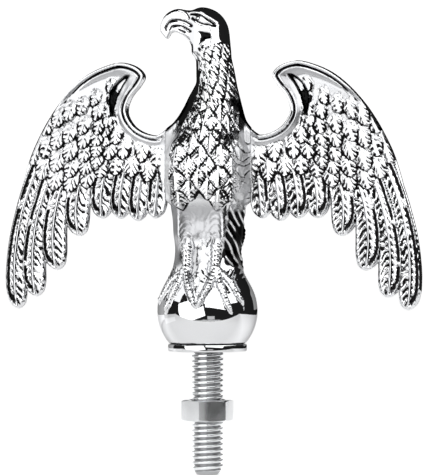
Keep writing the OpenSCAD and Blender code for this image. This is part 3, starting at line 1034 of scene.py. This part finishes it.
# ---------------------------------------------------------------- materials
def fill(tree, node, inputs):
    """Gives each of a node's inputs a constant or another node's output."""
    for key, value in inputs.items():
        if isinstance(value, bpy.types.NodeSocket):
            tree.links.new(value, node.inputs[key])
        else:
            node.inputs[key].default_value = value


def add(tree, kind, inputs, output=0, **settings):
    """The output of a new shader node."""
    node = tree.nodes.new("ShaderNode" + kind)
    for key, value in settings.items():
        setattr(node, key, value)
    fill(tree, node, inputs)
    return node.outputs[output]


def new_material(name):
    """A material, its node tree and its shader."""
    material = bpy.data.materials.new(name)
    material.use_nodes = True
    return material, material.node_tree, material.node_tree.nodes["Principled BSDF"]


def metal(name, colour, rough, grain, bump=0.0, rim=1.0, crisp=(0.0, 1.0)):
    """Polished metal: fine uneven gloss, satin and bare places, and painted shade, almost black with crisp
    edges, in the hollows, which are also a little duller.
    """
    material, tree, shader = new_material(name)
    frost, painted_shade, satin = (add(tree, "Attribute", {}, "Fac", attribute_name=key)
                            for key in ("frost", "painted_shade", "satin"))
    where = add(tree, "TexCoord", {}, "Object")
    fine = add(tree, "TexNoise", {"Vector": where, "Scale": grain, "Detail": 6}, "Fac")
    bare = add(tree, "Math", {0: frost, 1: -0.85, 2: 1.0}, operation="MULTIPLY_ADD")
    # painted shade: almost black in the hollows, and dimmer where satin
    deep = add(tree, "MapRange", {"Value": painted_shade, "From Min": crisp[0], "From Max": crisp[1]})
    shade_black = [0.01 * c for c in colour]
    shaded_colour = add(tree, "Mix", {0: deep, 6: (*colour, 1), 7: (*shade_black, 1)}, 2, data_type="RGBA")
    haze = add(tree, "Mix", {0: satin, 6: shaded_colour, 7: (0.5, 0.5, 0.51, 1)}, 2,
               data_type="RGBA", blend_type="MULTIPLY")
    # a little duller in the hollows and much duller where satin
    gloss = add(tree, "MapRange", {"Value": fine, "From Min": 0.3, "From Max": 0.75,
                                   "To Min": rough[0], "To Max": rough[1]})
    duller = add(tree, "Math", {0: painted_shade, 1: 0.12, 2: gloss}, operation="MULTIPLY_ADD")
    softer = add(tree, "Math", {0: satin, 1: 0.38, 2: duller}, operation="MULTIPLY_ADD")
    fill(tree, shader, {"Base Color": haze, "Metallic": bare, "Roughness": softer,
                        "Specular Tint": (rim, rim, rim, 1)})
    if bump:
        raised = add(tree, "Bump", {"Height": fine, "Strength": bump, "Distance": 0.0001})
        fill(tree, shader, {"Normal": raised})
    return material


def glowing_paper_material():
    """Pale paper with faint fibres that glows with painted light, dimmer in front of the ornament and almost
    white behind it.
    """
    material, tree, shader = new_material("GlowingPaper")
    where = add(tree, "TexCoord", {}, "Object")
    depth = add(tree, "SeparateXYZ", {0: where}, "Y")
    # painted light: the paper glows at 0.5 in front of the ornament, rising to 0.92 just behind it
    painted_glow = add(tree, "MapRange", {"Value": depth, "From Min": -0.01, "From Max": 0.03,
                                  "To Min": 0.5, "To Max": 0.92})
    fibres = add(tree, "TexNoise", {"Scale": 400}, "Fac")
    tone = add(tree, "MapRange", {"Value": fibres, "To Min": 0.86, "To Max": 0.92})
    fill(tree, shader, {"Base Color": tone, "Roughness": 0.9, "Emission Color": (1, 1, 1, 1),
                        "Emission Strength": painted_glow})
    return material


# ---------------------------------------------------------------- camera and light
CAMERA_TURN = 12.0  # degrees to +X of straight in front
CAMERA_RISE = 0.0
CAMERA_AWAY = 900.0
FRAME_WIDTH = 126.4  # millimetres across the picture at the stud's axis
AIM = (1.4, 0.0, 33.9)


def direction(azimuth, elevation):
    """The way from the object towards a place round it; azimuth 0 is in front, positive towards +X."""
    a, e = math.radians(azimuth), math.radians(elevation)
    return Vector((math.sin(a) * math.cos(e), -math.cos(a) * math.cos(e), math.sin(e)))


def camera():
    """A long lens, level with the ornament and a little to its left."""
    data = bpy.data.cameras.new("Camera")
    obj = place("Camera", data)
    away = direction(CAMERA_TURN, CAMERA_RISE)
    target = Vector(AIM) * MM
    obj.location = target + away * CAMERA_AWAY * MM
    obj.rotation_euler = (-away).to_track_quat("-Z", "Y").to_euler()
    data.sensor_fit = "HORIZONTAL"
    data.sensor_width = 36
    data.lens = 36 * CAMERA_AWAY / FRAME_WIDTH
    data.clip_start = 0.01
    scene.camera = obj


def softbox(name, azimuth, elevation, away, width, height, power, roll=0.0, middle=45.0):
    """A one-sided light panel facing the ornament, turned by roll degrees in its own plane."""
    data = bpy.data.lights.new(name, "AREA")
    data.shape = "RECTANGLE"
    data.size, data.size_y = width, height
    data.energy = power
    obj = place(name, data)
    way = direction(azimuth, elevation)
    obj.location = Vector((0, 0, middle * MM)) + way * away
    obj.rotation_euler = (way.to_track_quat("Z", "Y") @ Quaternion((0, 0, 1), math.radians(roll))).to_euler()


def room():
    """A dark room with a pale floor to be reflected, behind a pale surround that the camera sees."""
    world = bpy.data.worlds.new("Room")
    world.use_nodes = True
    tree = world.node_tree
    where = add(tree, "TexCoord", {}, "Generated")
    up = add(tree, "SeparateXYZ", {0: where}, "Z")
    uneven = add(tree, "TexNoise", {"Vector": where, "Scale": 3.0}, "Fac")
    height = add(tree, "Math", {0: uneven, 1: 0.12, 2: up}, operation="MULTIPLY_ADD")
    light = add(tree, "MapRange", {"Value": height, "From Min": -0.26, "From Max": -0.30,
                                   "To Min": 0.02, "To Max": 0.85})
    direct = add(tree, "LightPath", {}, "Is Camera Ray")
    seen = add(tree, "Mix", {0: direct, 2: light, 3: 1.0})
    fill(tree, tree.nodes["Background"], {"Color": seen})
    return world


def studio():
    """A pale paper sweep that glows with painted light, under and behind the ornament, soft lights all round
    it and a dim room.
    """
    floor_z = STUD_BOTTOM * MM - 0.0002
    line = [(-0.118, floor_z), (0.0, floor_z), (0.5, floor_z), (1.2, floor_z + 0.03), (1.6, floor_z + 0.14),
            (1.78, floor_z + 0.38), (1.8, floor_z + 0.6)]
    line = [tuple(p) for p in curve(line, 6)]
    cols, cos, sin = 21, math.cos(math.radians(CAMERA_TURN)), math.sin(math.radians(CAMERA_TURN))
    points, faces = [], []
    for y, z in line:
        half = 0.5 - 0.2 * smooth_step(0.1, 0.9, y)
        for k in range(cols):
            x = half * (2 * k / (cols - 1) - 1)
            points.append((x * cos - y * sin, x * sin + y * cos, z))
    for i in range(len(line) - 1):
        for k in range(cols - 1):
            a = i * cols + k
            faces.append((a, a + 1, a + cols + 1, a + cols))
    place("Sweep", make_mesh("Sweep", points, faces, glowing_paper_material()))
    softbox("SoftLeft", -26, -1, 0.65, 0.75, 0.50, 2.8, roll=14)
    softbox("SoftRight", 36, 26, 0.65, 0.66, 0.55, 2.7, roll=-10)
    softbox("SoftTop", -5, 46, 0.65, 0.5, 0.42, 1.4)
    softbox("SoftSide", -80, 24, 0.15, 0.15, 0.10, 0.075)
    softbox("SoftFlank", 84, 8, 0.15, 0.12, 0.06, 0.055, middle=62)
    softbox("SoftRearLeft", CAMERA_TURN - 143, 0, 0.2, 0.21, 0.10, 0.045, middle=21)
    softbox("SoftRearRight", CAMERA_TURN + 150, 0, 0.2, 0.14, 0.06, 0.0145, middle=41)
    softbox("SoftNutLeft", -84, 0, 0.15, 0.10, 0.02, 0.0022, middle=-26)
    softbox("SoftNutFront", 20, 0, 0.15, 0.042, 0.02, 0.0021, middle=-26)
    scene.world = room()
    scene.view_settings.view_transform = "Standard"


# ---------------------------------------------------------------- everything
chrome = metal("ChromePlate", (0.60, 0.605, 0.615), (0.02, 0.05), 900, bump=0.03, rim=0.5, crisp=(0.35, 0.7))
chrome_foot = metal("ChromeTurned", (0.58, 0.585, 0.595), (0.02, 0.05), 1200, rim=0.5)
zinc = metal("ZincPlatedThread", (0.66, 0.67, 0.68), (0.12, 0.18), 500, bump=0.02)
zinc_nut = metal("ZincPlatedNut", (0.70, 0.71, 0.72), (0.16, 0.2), 400, bump=0.02)
brass = metal("BrassInsert", (0.80, 0.60, 0.28), (0.2, 0.35), 1500, bump=0.1)

camera()
studio()
eagle_body(chrome)
wing("LeftWing", -1, chrome)
wing("RightWing", 1, chrome)
wing_pins(chrome_foot)
foot_plate(chrome_foot)
thread_insert(brass)
stud(zinc)
hex_nut(zinc_nut)
